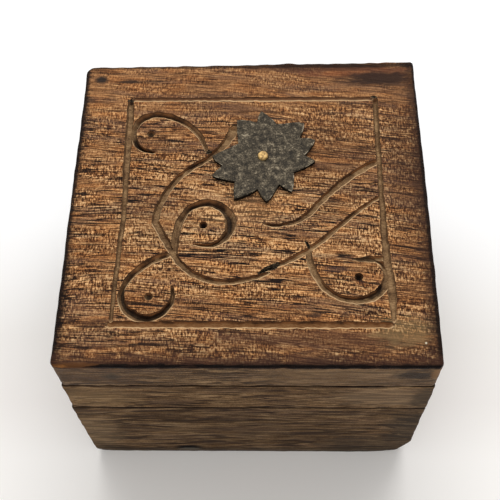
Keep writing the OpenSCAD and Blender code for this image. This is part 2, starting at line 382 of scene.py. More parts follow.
# Kinds of wood, for figure(). shades are a ramp. line is the colour of the grain lines, lines their
# strength, dashes that of the short ones and pore the width of the long ones. length and cell are the
# figure's size along and across the grain, and fibre a fibre's length. ridges, fibres, mottle, ribs,
# bands and clouds weigh the patterns of the tone, and haze and warmth the greyed and the warm patches.
WOODS = {
    "carved": {
        "shades": [(0.0, (56, 30, 14)), (0.22, (96, 60, 34)), (0.47, (146, 100, 62)),
                   (0.72, (192, 140, 90)), (1.0, (236, 190, 136))],
        "line": (18, 10, 9), "lines": 0.9, "dashes": 0.4, "cell": 0.4, "pore": 0.036, "length": 24,
        "ridges": 0.25, "haze": 0.35, "warmth": 0.5,
        "fibre": 7, "fibres": 1.3, "mottle": 1.1, "ribs": 3.2, "bands": 0.5, "clouds": 0.15,
        "rough": 0.55, "relief": 0.6,
    },
    "weathered": {
        "shades": [(0.0, (46, 31, 18)), (0.35, (88, 65, 42)), (0.6, (118, 92, 64)),
                   (1.0, (166, 136, 100))],
        "line": (26, 16, 11), "lines": 0.75, "dashes": 0.5, "cell": 0.8, "pore": 0.045, "length": 32,
        "ridges": 0.25, "haze": 0.2, "warmth": 0.2,
        "fibre": 8, "fibres": 1.15, "mottle": 0.8, "ribs": 0.0, "bands": 0.7, "clouds": 0.6,
        "rough": 0.75, "relief": 0.4,
    },
    "raw": {
        "shades": [(0.0, (110, 78, 50)), (0.5, (172, 134, 94)), (1.0, (208, 174, 132))],
        "line": (104, 74, 48), "lines": 0.45, "dashes": 0.5, "cell": 0.7, "pore": 0.03, "length": 30,
        "ridges": 0.1, "haze": 0.0, "warmth": 0.2,
        "fibre": 12, "fibres": 0.9, "mottle": 0.2, "ribs": 0.3, "bands": 0.8, "clouds": 0.3,
        "rough": 0.75, "relief": 0.3,
    },
}
WOODS["hard"] = {**WOODS["raw"], "shades": [(0.0, (40, 22, 14)), (0.5, (84, 48, 30)), (1.0, (120, 76, 48))],
                 "line": (30, 17, 12), "lines": 0.5, "cell": 0.6, "warmth": 0.0, "fibres": 0.8,
                 "rough": 0.45, "relief": 0.2}
WOODS["weathered_side"] = {**WOODS["weathered"], "cell": 0.4, "fibre": 12, "pore": 0.045, "length": 30,
                           "lines": 0.6, "dashes": 0.2, "mottle": 0.5}
AGED = {"clouds": 0.6, "lines": 0.65, "light": 0.82}  # light is the share that its shades keep
WOODS["aged"] = {**WOODS["weathered"], **AGED, "cell": 1.2}
WOODS["aged_side"] = {**WOODS["weathered_side"], **AGED}

GREYED = paint(86, 68, 62)
WARMED = (1.0, 0.8, 0.58, 1)


def figure(s, place, look, strength=1.0, level=MIDDLE):
    """Colour and height of wood whose grain runs along x.

    strength is that of its contrasts, and level is where its middle lies on the ramp of shades. A
    pattern's size is given along the grain, then twice across it.
    """
    cell = look["cell"]
    bands = s.noise(place, (40, 5, 5), 3, 0.6)
    fibres = s.noise(place, (look["fibre"], 0.9 * cell, 0.9 * cell), 2, 0.6)
    mottle = s.noise(place, (0.45, 0.38, 0.38), 2, 0.6)
    clouds = s.noise(place, (15, 8, 8), 3)
    # A long pore follows a noise's middle contour, and a ridge runs along both sides of it.
    contours = s.noise(place, (look["length"], 2 * cell, 2 * cell), 1.5, 0.45)
    contours = s.math("ABSOLUTE", s.minus(contours, MIDDLE))
    short_pores = s.noise(place, (5, 0.7 * cell, 0.7 * cell), 1, 0.5)
    ridges = s.times(s.span(contours, 0.05, 0.08), s.span(contours, 0.1, 0.18, 1, 0))
    swing = s.waves(0.0, (bands, look["bands"]), (clouds, look["clouds"]), (mottle, look["mottle"]),
                    (fibres, look["fibres"]), (ridges, look["ridges"]))
    if look["ribs"]:
        ribbed = s.span(s.noise(place, (14, 5, 5), 2), 0.38, 0.6, 0.2, 1.0)
        ribs = s.swing(s.noise(place, (0.42, 1.2, 1.2), 2, 0.6), ribbed)
        swing = s.plus(swing, s.times(ribs, look["ribs"]))
    tone = s.plus(s.times(swing, strength), level)
    colour = s.ramp(tone, look["shades"], look.get("light", 1.0))

    crowd = s.noise(place, (26, 3, 3), 2)
    haze = s.times(s.span(crowd, 0.48, 0.62), look["haze"])
    colour = s.mix(haze, colour, GREYED)
    warmth = s.span(s.noise(place, (9, 2.5, 2.5), 2), 0.48, 0.62, 0, look["warmth"])
    colour = s.mix(warmth, colour, WARMED, "MULTIPLY")
    breaks = s.span(s.noise(place, (look["length"] / 2, 3 * cell, 3 * cell), 1), 0.38, 0.46)
    long_lines = s.times(s.span(contours, 0.6 * look["pore"], 1.4 * look["pore"], 1, 0), breaks)
    short_lines = s.span(short_pores, 0.59, 0.61, 0, look["dashes"])
    pore = s.math("MAXIMUM", long_lines, short_lines)
    pore = s.times(pore, s.span(crowd, 0.36, 0.5, 0.4, 1.0))
    pore = s.times(pore, strength)
    colour = s.stain(colour, pore, look["lines"], paint(*look["line"]))
    return colour, s.minus(tone, pore)


def on_face(axis, level, rows):
    """Marks for stained() on the face where an axis is at level. In rows, a centre leaves that out."""
    return [((*at[:axis], level, *at[axis:]), *rest) for at, *rest in rows]


def stained(s, colour, marks):
    """A colour with marks on it, which are (centre, reach, colour for paint(), share, ragged)."""
    for centre, reach, tint, share, ragged in marks:
        mask = s.blob(s.place, centre, reach, ragged)
        colour = s.stain(colour, mask, share, paint(*tint))
    return colour


# How far the grain wanders sideways, and over what length
TOP_SWAY = (4, 40)
WALL_SWAY = (5, 30)


def waved(s, place, sway):
    """place, with the grain made to wander."""
    size, run = sway
    drift = s.swing(s.noise(place, (run, run / 2, run / 2), 1), size)
    return s.vector("ADD", place, s.add("CombineXYZ", {"Y": drift, "Z": drift}))


END_STRENGTH, END_LEVEL = 0.7, 0.4  # of end grain, for figure()


def end_grain(s, grain):
    """Strength and level for figure(): calmer and darker where the surface cuts across the grain."""
    facing = s.math("ABSOLUTE", s.axes(s.coordinates("Normal"))[grain])
    return s.span(facing, 0.4, 0.8, 1.0, END_STRENGTH), s.span(facing, 0.4, 0.8, MIDDLE, END_LEVEL)


BUMP_DEPTH = 0.3  # of the wood's figure


def wood(name, kind, grain=X, shift=(0, 0, 0), rims=(), marks=()):
    """Wood whose grain runs along the x or y axis.

    rims are (height, reach, colour, share): stripes round the outside of the box. marks are for stained().
    """
    look = WOODS[kind]
    s = Nodes(name)
    turn = (0, 0, math.pi / 2 if grain == Y else 0)
    place = s.add("Mapping", {"Vector": s.place, "Location": shift, "Rotation": turn})
    colour, height = figure(s, waved(s, place, WALL_SWAY), look, *end_grain(s, grain))
    if rims:
        x, y, z = s.axes(s.place)
        out = s.math("MAXIMUM", s.minus(s.math("ABSOLUTE", x), half_w),
                     s.minus(s.math("ABSOLUTE", y), half_d))
        round_box = s.add("CombineXYZ", {"X": out, "Y": z, "Z": s.plus(x, y)})
    for level, reach, tint, share in rims:
        stripe = s.blob(round_box, (0, level, 0), (5, reach, FAR), 0.25)
        colour = s.stain(colour, stripe, share, paint(*tint))
    colour = stained(s, colour, marks)
    return s.finish(colour, look["rough"], s.bump(height, look["relief"], BUMP_DEPTH), shine=0.06)


# The lid's grain drops towards the front: by a share of x, and of the squared way from the left edge
GRAIN_LEAN = 0.03
GRAIN_BEND = 0.0006
# Where its contrasts are strongest, and where a painted sheen makes it paler: (centre, reach, ragged), gain
LIVELY = ((-4, -4, top_z), (42, 30, FAR), 0.3), 0.3
SHEEN = ((0, -6, top_z), (54, 30, FAR), 0.4), 0.09
CALM_BACK = (22, 42, 1.0, 0.6)  # two values of y, and the strength at each


def lid_wood(top_marks, side_marks):
    """Waxed and scorched on top, where the grain bends to the front, with a painted sheen in its middle, and
    weathered round the sides.
    """
    s = Nodes("lid_wood")
    x, y, z = s.axes(s.place)
    from_left = s.plus(x, half_w)
    fall = s.times(s.math("POWER", from_left, 2.0), GRAIN_BEND)
    fall = s.plus(fall, s.times(x, GRAIN_LEAN))
    place = s.vector("ADD", s.place, s.add("CombineXYZ", {"Y": fall}))
    calm_back = s.span(y, *CALM_BACK)
    lively, sheen = (s.times(s.blob(s.place, *area), gain) for area, gain in (LIVELY, SHEEN))
    strength = s.plus(calm_back, lively)
    colour, height = figure(s, waved(s, place, TOP_SWAY), WOODS["carved"], strength, s.plus(sheen, MIDDLE))
    colour = stained(s, colour, top_marks)

    side_place = waved(s, s.place, WALL_SWAY)
    side_colour, side_height = figure(s, side_place, WOODS["weathered_side"], *end_grain(s, X))
    front_colour = figure(s, side_place, WOODS["weathered"])[0]
    front = s.math("LESS_THAN", y, FACE_ZONE - half_d)
    side_colour = s.mix(front, side_colour, front_colour)
    side_colour = stained(s, side_colour, side_marks)

    ragged = s.noise(s.place, (2.5, 2.5, 0.8), 2)
    on_top = s.span(s.plus(z, ragged), top_z - 0.9, top_z - 0.5)
    colour = s.mix(on_top, side_colour, colour)
    height = s.plus(height, s.times(side_height, 0.3))
    return s.finish(colour, 0.55, s.bump(height, 0.5, BUMP_DEPTH), shine=0.07)


def groove_wood(marks, shade_marks):
    """The carved grooves: grey-brown fibres, with painted shade on steep walls, on walls that face the front
    and where they lie deep, darker along the rims, and a painted highlight on the lips that face the back.
    """
    s = Nodes("groove_wood")
    backward, upright = s.axes(s.coordinates("Normal"))[Y:]
    deep = s.minus(top_z, s.axes(s.place)[Z])
    fibres = s.noise(s.place, (1.0, 0.35, 0.35), 4, 0.7)
    stains = s.noise(s.place, (4, 3, 3), 3, 0.6)
    tone = s.waves(0.5, (fibres, 1.3), (stains, 1.1))
    colour = s.ramp(tone, [(0.15, (66, 46, 29)), (0.5, (122, 93, 63)), (0.9, (172, 140, 100))])
    colour = stained(s, colour, marks)
    # Painted shade: darker on steep walls and on walls that face the front, and darker still where deep.
    wall_shade_colour = s.ramp(stains, [(0.38, (52, 31, 17)), (0.62, (122, 76, 40))])
    steep_shade = s.span(upright, 0.35, 0.8, 1, 0)
    colour = s.stain(colour, steep_shade, 0.65, paint(70, 45, 27))
    front_wall_shade = s.span(s.times(backward, -1), 0.18, 0.65)
    colour = s.stain(colour, front_wall_shade, 0.85, wall_shade_colour)
    deep_shade = s.times(front_wall_shade, s.span(deep, 0.4, 1.2))
    deep_shade = s.math("MAXIMUM", deep_shade, s.span(deep, 1.15, 1.6))
    colour = s.stain(colour, deep_shade, 0.85, paint(*CHAR_AND_SHADE))
    edge = s.span(deep, LIP, 1.5 * LIP, 1, 0)
    colour = s.stain(colour, edge, 0.7, paint(58, 36, 21))
    # A painted highlight on the lips that face the back.
    lip = s.times(s.span(backward, 0.04, 0.3), s.span(deep, 0.2, 0.5, 1, 0))
    colour = s.stain(colour, lip, 0.85, paint(206, 170, 126))
    colour = stained(s, colour, shade_marks)
    return s.finish(colour, 0.8, s.bump(fibres, 0.4, BUMP_DEPTH), shine=0.12)


def burnt_wood():
    s = Nodes("burnt_wood")
    ash = s.noise(s.place, (0.8, 0.4, 0.4), 3, 0.7)
    colour = s.ramp(ash, [(0.38, CHAR_AND_SHADE), (0.5, (50, 42, 32)), (0.64, (104, 90, 70))])
    return s.finish(colour, 0.85, s.bump(ash, 0.4, BUMP_DEPTH), shine=0.1)


def iron():
    """Blackened sheet iron, with a painted highlight along its bent rims and painted shade on its edges."""
    s = Nodes("iron")
    upright = s.axes(s.coordinates("Normal"))[Z]
    mottle = s.noise(s.place, (0.5, 0.5, 0.5), 3, 0.7)
    clouds = s.noise(s.place, (1.7, 1.7, 1.7), 3)
    tone = s.waves(0.5, (mottle, 1.7), (clouds, 1.3))
    colour = s.ramp(tone, [(0.1, (26, 21, 14)), (0.5, (62, 54, 41)), (0.75, (104, 93, 75)),
                           (1.0, (166, 152, 127))])
    # A painted highlight along the bent rims
    rim_highlight = s.times(s.span(upright, 0.6, 0.8), s.span(upright, 0.88, 0.97, 1, 0))
    colour = s.stain(colour, rim_highlight, s.span(clouds, 0.48, 0.6), paint(176, 164, 142))
    # Painted shade on the sheet's upright edges
    colour = s.mix(s.span(upright, 0.3, 0.7, 1, 0), colour, paint(10, 8, 6))
    return s.finish(colour, 0.6, s.bump(tone, 0.5, 0.2), metal=0.2, shine=0.2)


def brass():
    s = Nodes("brass")
    tarnish = s.noise(s.place, (0.7, 0.7, 0.7), 3)
    colour = s.ramp(tarnish, [(0.35, (124, 94, 50)), (0.6, (204, 168, 104))])
    return s.finish(colour, 0.5, s.bump(tarnish, 0.5, 0.15), metal=0.4)


def steel():
    s = Nodes("steel")
    brushed = s.noise(s.place, (0.2, 2.5, 0.2), 3)
    colour = s.ramp(brushed, [(0.3, (120, 118, 114)), (0.7, (172, 170, 166))])
    return s.finish(colour, 0.38, s.bump(brushed, 0.2, 0.05), metal=0.95)


# -------- boards and lock

# How far each layer stands out past its box at the left, right and front, as handmade boards do
OUT = {"base": (0.6, 0.05, 0.35), "rim": (0.0, 0.25, 0.3), "lid": (0.2, 0.5, 0.25)}
BAR_CLEAR, PEG_CLEAR, LIP_CLEAR = 0.2, 0.4, 0.3  # running clearances, as in the CAD model
PAST = 1.0  # how far a cutter runs past the face it opens


def spread(node, layer):
    """A node's box, moved out where it forms the left, right or front of the whole box."""
    low, high = BOX[node].copy()
    left, right, front = OUT[layer]
    if low[X] < -half_w + FACE_ZONE:
        low[X] -= left
    if high[X] > half_w - FACE_ZONE:
        high[X] += right
    if low[Y] < -half_d + FACE_ZONE:
        low[Y] -= front
    return low, high


SLIDE_WAY = {"front": 1, "back": -1}  # the front bar slides to the right and the back bar to the left


def peg_place(side):
    """The middle of a lock's peg at rest, and how far along x it slides."""
    return BOX["lock_peg_" + side].mean(0), SLIDE_WAY[side] * TRAVEL[side + "_bolt"]


def peg_radius(side):
    low, high = BOX["lock_peg_" + side]
    return (high[X] - low[X]) / 2


def stadium(x0, x1, z, radius, count=12):
    """Outline of a slot with round ends, as (z, x) pairs for prism() along y."""
    x0, x1 = sorted((x0, x1))
    turns = np.linspace(0, math.pi, count)
    far = [(z + radius * math.cos(t), x1 + radius * math.sin(t)) for t in turns]
    near = [(z - radius * math.cos(t), x0 - radius * math.sin(t)) for t in turns]
    return far + near


def rim_cutters(side):
    """The bar's channel in a rim board, and the window that its peg runs in."""
    bar = BOX["lock_bar_" + side]
    rest, slide = peg_place(side)
    low, high = bar[LOW] - BAR_CLEAR, bar[HIGH] + BAR_CLEAR
    low[Z] = bar[LOW][Z]
    high[Z] = lid_z + PAST
    low[X] += min(slide, 0)
    high[X] += max(slide, 0)
    channel = block("channel", low, high)
    inner_face = min(abs(BOX["rim_" + side][:, Y]))
    reach = sorted(math.copysign(v, rest[Y]) for v in (inner_face - PAST, abs(bar[:, Y]).min() + PAST))
    outline = stadium(rest[X], rest[X] + slide, rest[Z], peg_radius(side) + PEG_CLEAR)
    return [channel, prism("window", outline, Y, *reach)]


def notch_cutters(side):
    """The L-shaped notch in a liner board: down from its top, then along."""
    rest, slide = peg_place(side)
    r = peg_radius(side) + PEG_CLEAR
    low, high = BOX["liner_" + side]
    front, back, top = low[Y] - PAST, high[Y] + PAST, high[Z] + PAST
    level = prism("notch", stadium(rest[X], rest[X] + slide, rest[Z], r), Y, front, back)
    upright = block("notch", (rest[X] - r, front, rest[Z]), (rest[X] + r, back, top))
    return [level, upright]


def lip_cutters(node):
    """What the lip loses on its outside, so that the rim slides over it."""
    low, high = BOX[node]
    made = []
    for axis, liner in ((X, "liner_left"), (Y, "liner_front")):
        face = max(abs(BOX[liner][:, axis])) - LIP_CLEAR
        for outside, row, edge in ((high[axis] > face, LOW, face), (low[axis] < -face, HIGH, -face)):
            corners = np.array([low - PAST, high + PAST])
            corners[LOW, Z] = base_z
            corners[row, axis] = edge
            if outside:
                made.append(block("relief", *corners))
    return made


def recess_cutter():
    """The rabbet that the bottom board lies in."""
    low, high = BOX["bottom_board"]
    return block("recess", low - (0, 0, PAST), high)


def coated(made, material):
    """The object, with one more material."""
    made.data.materials.append(material)
    return made


# Wear of the base, for board()
BASE_WEAR = [((half_w, -half_d, 0), (13, 13, 15), 6.5), ((-half_w, -half_d, 0), (5, 5, 5), 2.0)]
BASE_NOTCH = ((-20.5, -half_d, 3.4), (4.4, 4.0, 2.6), 0.7)
BASE_BEVEL = (4.5, 0.6)
# Stripes and marks of the walls, for wood(): (height or place, reach, colour, share), and ragged
# The first stripe is painted shade along the parting between lid and base.
BASE_RIMS = [(base_z, 0.9, CHAR_AND_SHADE, 0.8), (0, 6.4, (66, 57, 48), 0.7), (5.4, 1.5, CHAR_AND_SHADE, 0.45)]
RIM_RIMS = [(lid_z, 0.7, CHAR_AND_SHADE, 0.8)]
BASE_MARKS = on_face(Y, -half_d, [
    # Painted shade in the top of the notch
    ((-20.5, 6.6), (6.4, 3, 3.0), (6, 3, 2), 1.0, 0.15),
    ((-20.5, 3.0), (5.0, 3, 3.0), (90, 83, 73), 0.9, 0.15),
    ((-45, 7.0), (9, 3, 2.8), CHAR_AND_SHADE, 0.7, 0.3),
    ((38, 10), (24, 3, 14), (58, 50, 42), 0.5, 0.6),
    ((half_w, 28), (12, 6, 24), (56, 47, 38), 0.7, 0.6),
    ((-50, 22), (14, 3, 22), (138, 116, 88), 0.3, 0.6),
    ((-6, 24), (46, 3, 20), (60, 46, 34), 0.22, 0.6),
])
RIM_MARKS = on_face(Y, -half_d, [
    ((-44, 54), (18, 3, 10), (134, 108, 76), 0.4, 0.6),
    ((40, 54), (24, 3, 10), (142, 118, 92), 0.4, 0.6),
    ((half_w, 54), (7, 5, 12), (50, 42, 34), 0.7, 0.6),
])

SIDES = {"front": X, "back": X, "left": Y, "right": Y}  # each side's board, and the way of its grain
SEEDS = {"base": 10, "rim": 20, "liner": 30, "bottom": 40, "bar": 50, "lid": 60}


def kind_on(side, kind):
    """The kind of wood on a side: the front shows long grain lines, and the others a finer figure."""
    return kind if side == "front" else kind + "_side"


def base_board(side, grain, number):
    node = "base_" + side
    shift = (13 * number, 40 + 21 * number, 5 * number)
    material = wood(node + "_wood", kind_on(side, "aged"), grain, shift, BASE_RIMS, BASE_MARKS)
    made = board(node, *spread(node, "base"), SEEDS["base"] + number, worn_corners=BASE_WEAR,
                 dents=[BASE_NOTCH], bevel=BASE_BEVEL)
    add_piece(cut(coated(made, material), [recess_cutter()]), node, "base")


def rim_board(side, grain, number):
    node = "rim_" + side
    shift = (31 * number, 17 * number, 11 + 3 * number)
    material = wood(node + "_wood", kind_on(side, "weathered"), grain, shift, RIM_RIMS, RIM_MARKS)
    made = coated(board(node, *spread(node, "rim"), SEEDS["rim"] + number), material)
    if grain == X:
        cut(made, rim_cutters(side))
    add_piece(made, node, "lid")


def liner_board(side, grain, number):
    node = "liner_" + side
    material = wood(node + "_wood", "raw", grain, (17 * number, 9 * number, 23 * number))
    made = board(node, *BOX[node], SEEDS["liner"] + number, step=2, radius=0.35, wear=0.02)
    cutters = lip_cutters(node)
    if grain == X:
        cutters += notch_cutters(side)
    add_piece(cut(coated(made, material), cutters), node, "base")


def bottom_board():
    made = board("bottom_board", *BOX["bottom_board"], SEEDS["bottom"], step=2, radius=0.3, wear=0.02)
    add_piece(coated(made, wood("bottom_wood", "raw", X, (5, 60, 8))), "bottom_board", "base")


def lock_bar(side, material):
    node = "lock_bar_" + side
    low, high = BOX[node]
    rest = peg_place(side)[0]
    made = coated(board(node, low, high, SEEDS["bar"], step=1.5, radius=0.5, wear=0.03), material)
    bore = prism("bore", ring((rest[Z], rest[X]), peg_radius(side)), Y, low[Y] - PAST, high[Y] + PAST)
    add_piece(cut(made, [bore]), node, side + "_bolt")


for number, (side, grain) in enumerate(SIDES.items()):
    base_board(side, grain, number)
    rim_board(side, grain, number)
    liner_board(side, grain, number)
bottom_board()

bar_wood = wood("bar_wood", "hard")
for side in ("front", "back"):
    lock_bar(side, bar_wood)

steel_metal = steel()
for node in ("lock_peg_front", "lock_peg_back", "bottom_brads"):
    frame["nodes"][node].data.materials.clear()
    coated(frame["nodes"][node], steel_metal)

# -------- the carved lid board

# The carving, in millimetres on the lid: (start, heading, [(radius, turn), ...], widths, depths).
# A positive radius turns left and a radius of 0 is a kink. Widths and depths are spread evenly along
# each vine, and a curl is cut steeper towards the inside of its last arc.
VINES = {
    "top_curl": ((-12.5, 17.4), 100, [(17, 72), (6.9, 190)], (1.0, 1.9, 2.1, 2.3, 2.0, 1.0), (1.0, 1.2, 1.7)),
    "long_stem": ((-4, 27.1), 254, [(-23.5, 42), (25.9, 54), (0, 32), (360, 2), (16.3, 65), (32.7, 20)],
                  (3.0, 2.3, 1.7, 1.8, 1.9, 2.0, 2.0, 1.9, 1.8, 1.8, 1.5, 1.0), (1.0, 1.1, 1.1, 1.0, 0.7)),
    "middle_curl": ((-20, -17.3), 99, [(-22.7, 33), (-7.1, 172), (-6.7, 76), (-22, 9)],
                    (2.0, 2.2, 1.9, 2.6, 3.2, 2.0, 0.5), (1.1, 1.4, 1.7, 0.9)),
    "low_curl": ((-21.3, -17.1), 192, [(17.5, 51), (7, 229)],
                 (1.8, 2.2, 1.5, 2.6, 2.0, 1.0), (1.0, 1.4, 1.7, 1.3)),
    "upper_stem": ((38, 14.1), 208, [(58.2, 25), (-13.7, 68)], (1.9, 2.2, 1.9, 1.7, 0.7), (1.0, 1.1, 0.8)),
    "lower_stem": ((37.9, 1.9), 215, [(101.2, 10), (-55.1, 25)], (1.1, 1.3, 1.5, 1.6, 0.9), (0.7, 0.9, 0.8)),
    "right_curl": ((17.1, -14.9), 268, [(19.3, 37), (10.6, 86), (7.4, 58), (5.1, 112)],
                   (1.5, 1.9, 1.8, 1.8, 2.4, 2.6, 1.7, 0.9), (0.9, 0.9, 1.0, 1.5, 1.3, 0.9)),
}
# The same for straight cuts, with the points that they run through
BORDERS = {
    "left_border": ([(-36.5, 37.0), (-36.0, 27.5), (-36.0, 13), (-35.4, 3), (-35.4, -6), (-35.9, -22),
                     (-36.3, -38.2)],
                    (2.0, 2.2, 2.2, 2.0, 1.6, 1.4, 1.3, 1.25, 1.2, 1.0), (1.2, 1.1, 0.9, 0.7)),
    "right_border": ([(38.3, 37.6), (38.2, 12.6), (38.3, -11), (38.5, -19.6), (39.2, -25.5), (39.4, -30),
                      (39.2, -37.9)],
                     (1.5, 1.6, 1.55, 1.45, 1.5, 1.7, 2.0, 2.4, 2.5, 1.0), (1.2, 1.0, 1.0, 0.8)),
    "back_border": ([(-36.4, 37.2), (38, 37)], (1.3, 1.4, 1.5, 1.2), (0.28, 0.32, 0.3)),
    "right_tail": ([(38.0, -18.4), (33.0, -18.7), (28.9, -18.7)], (2.0, 1.5, 0.5), (0.8, 0.9, 0.4)),
    "front_border": ([(-37.6, -38.3), (39.3, -38.4)], (1.7, 2.0, 2.0, 1.7), (0.6, 0.7, 0.7)),
}
# Short scorched nicks where the carver's strokes meet
BURNS = [
    ([(2.9, -23.0), (9.9, -19.6)], (0.4, 1.4, 1.7, 0.5), (0.9, 1.4, 1.2)),
    ([(-13.1, 17.9), (-10.4, 17.2)], (0.6, 1.2, 0.4), (1.0, 1.2)),
    ([(16.1, -12.9), (17.8, -15.6)], (0.3, 0.8, 1.4), (0.8, 1.4)),
    ([(-37.4, 36.8), (-35.4, 36.5)], (1.0, 1.4, 0.8), (0.8, 1.0)),
    ([(37.2, 37.9), (39.0, 37.5)], (0.8, 1.2, 0.6), (0.8, 0.9)),
]
EYES = [(-29.4, 24.1, 1.0), (-12.5, -7.6, 1.9), (-26.5, -30.1, 1.1), (30.6, -24.1, 1.8)]  # x, y and depth
EYE = [(1.2, 0.0), (1.05, 0.35), (0.7, 0.75), (0.3, 0.95)]  # radius, and share of the depth
EYE_SIDES = 24
GROOVE_STEP = 0.5
# The carver's unevenness in a groove's width and depth, as shares, and off its line: (swing, size)
WIDTH_SWINGS = (0.06, 3), (0.05, 1.3)
DEPTH_SWING = (0.1, 4)
LINE_SWING = (0.08, 2.5)
END_WIDTH, END_WIDTH_RUN = 0.55, 1.2  # at its end a groove keeps this share, and tapers over this run
END_DEPTH, END_DEPTH_RUN = 0.25, 1.5
CURL_LEAN = 0.8


def arc_path(start, heading, arcs):
    """Points GROOVE_STEP apart along arcs that run on from one another."""
    place = np.array(start, float)
    heading = math.radians(heading)
    points = []
    for radius, turn in arcs:
        turn = math.radians(turn)
        if radius == 0:
            heading += turn
            continue
        count = max(2, math.ceil(abs(radius) * turn / GROOVE_STEP))
        angles = heading + np.linspace(0, turn, count + 1) * np.sign(radius)
        centre = place + radius * np.array([-math.sin(heading), math.cos(heading)])
        arc = centre + radius * np.stack([np.sin(angles), -np.cos(angles)], -1)
        points.append(arc if not points else arc[1:])
        place, heading = arc[-1], angles[-1]
    return np.concatenate(points)


def way_along(points):
    """How far along a path each of its points lies."""
    return np.concatenate([[0], np.cumsum(np.linalg.norm(np.diff(points, axis=0), axis=1))])


def line_path(points):
    """Points about GROOVE_STEP apart on the straight runs between these points."""
    points = np.array(points)
    run = way_along(points)
    steps = np.linspace(0, run[-1], round(run[-1] / GROOVE_STEP) + 1)
    return np.stack([np.interp(steps, run, points[:, axis]) for axis in (X, Y)], -1)


def groove(name, path, widths, depths, seed, lean=0.0):
    """A closed cutter along a path, with a gouge's round floor and tapered ends.

    lean, from -1 to 1, moves the deepest line towards the path's right or left side.
    """
    n = len(path)
    length = way_along(path)
    share = length / length[-1]
    tangent = np.gradient(path, axis=0)
    tangent /= np.linalg.norm(tangent, axis=1)[:, None]
    across = np.stack([-tangent[:, 1], tangent[:, 0]], -1)
    spots = np.concatenate([path, np.zeros((n, 1))], 1)
    half = (np.interp(share, np.linspace(0, 1, len(widths)), widths) - LIP) / 2
    (coarse, coarse_size), (fine, fine_size) = WIDTH_SWINGS
    half *= 1 + coarse * ripple(spots, coarse_size, seed) + fine * ripple(spots, fine_size, seed + 3)
    deep = np.interp(share, np.linspace(0, 1, len(depths)), depths)
    deep *= 1 + DEPTH_SWING[0] * ripple(spots, DEPTH_SWING[1], seed + 1)
    ends = np.minimum(length, length[-1] - length)
    deep *= END_DEPTH + (1 - END_DEPTH) * smooth(ends / END_DEPTH_RUN)
    half *= END_WIDTH + (1 - END_WIDTH) * smooth(ends / END_WIDTH_RUN)
    path = path + across * (LINE_SWING[0] * ripple(spots, LINE_SWING[1], seed + 2))[:, None]
    # The lip on the groove's front side is worn back further.
    left_rim, right_rim = (half + LIP * (1 + 0.8 * np.maximum(0, way * across[:, Y])) for way in (-1, 1))
    left_wall, right_wall = (deep * (0.8 - 0.4 * max(way * lean, 0)) for way in (-1, 1))
    flat = 0 * deep
    profile = [  # from right to left: across the path, and up from the lid's top
        (-right_rim, flat + PAST),
        (-right_rim, flat),
        (-half, flat - LIP),
        ((-0.7 - 0.1 * min(lean, 0)) * half, -right_wall),
        ((0.35 * lean - 0.25) * half, -deep),
        ((0.35 * lean + 0.25) * half, -deep),
        ((0.7 + 0.15 * lean) * half, -left_wall),
        (half, flat - LIP),
        (left_rim, flat),
        (left_rim, flat + PAST),
    ]
    m = len(profile)
    points = np.zeros((n, m, 3))
    for k, (offset, height) in enumerate(profile):
        points[:, k, :2] = path + across * offset[:, None]
        points[:, k, 2] = top_z + height
    ids = np.arange(n * m).reshape(n, m)
    faces = [(ids[i, k], ids[i, (k + 1) % m], ids[i + 1, (k + 1) % m], ids[i + 1, k])
             for i in range(n - 1) for k in range(m)]
    faces += [tuple(ids[0][::-1]), tuple(ids[-1])]
    return add_mesh(name, points.reshape(-1, 3), faces)


def carving_cutters():
    """Cutters of all grooves, of the scorched nicks, whose names start with burn, and of the eyes."""
    made = []
    for number, (name, (start, heading, arcs, widths, depths)) in enumerate(VINES.items()):
        path = arc_path(start, heading, arcs)
        lean = math.copysign(CURL_LEAN, arcs[-1][0]) if name.endswith("curl") else 0.0
        made.append(groove(name, path, widths, depths, 100 + 10 * number, lean))
    straight = list(BORDERS.items()) + [("burn", burn) for burn in BURNS]
    for number, (name, (points, widths, depths)) in enumerate(straight):
        made.append(groove(name, line_path(points), widths, depths, 300 + 10 * number))
    for x, y, deep in EYES:
        profile = [(0, PAST), (EYE[0][0], PAST)] + [(r, -deep * share) for r, share in EYE] + [(0, -deep)]
        made.append(lathe("eye", profile, (x, y, top_z), EYE_SIDES))
    return made


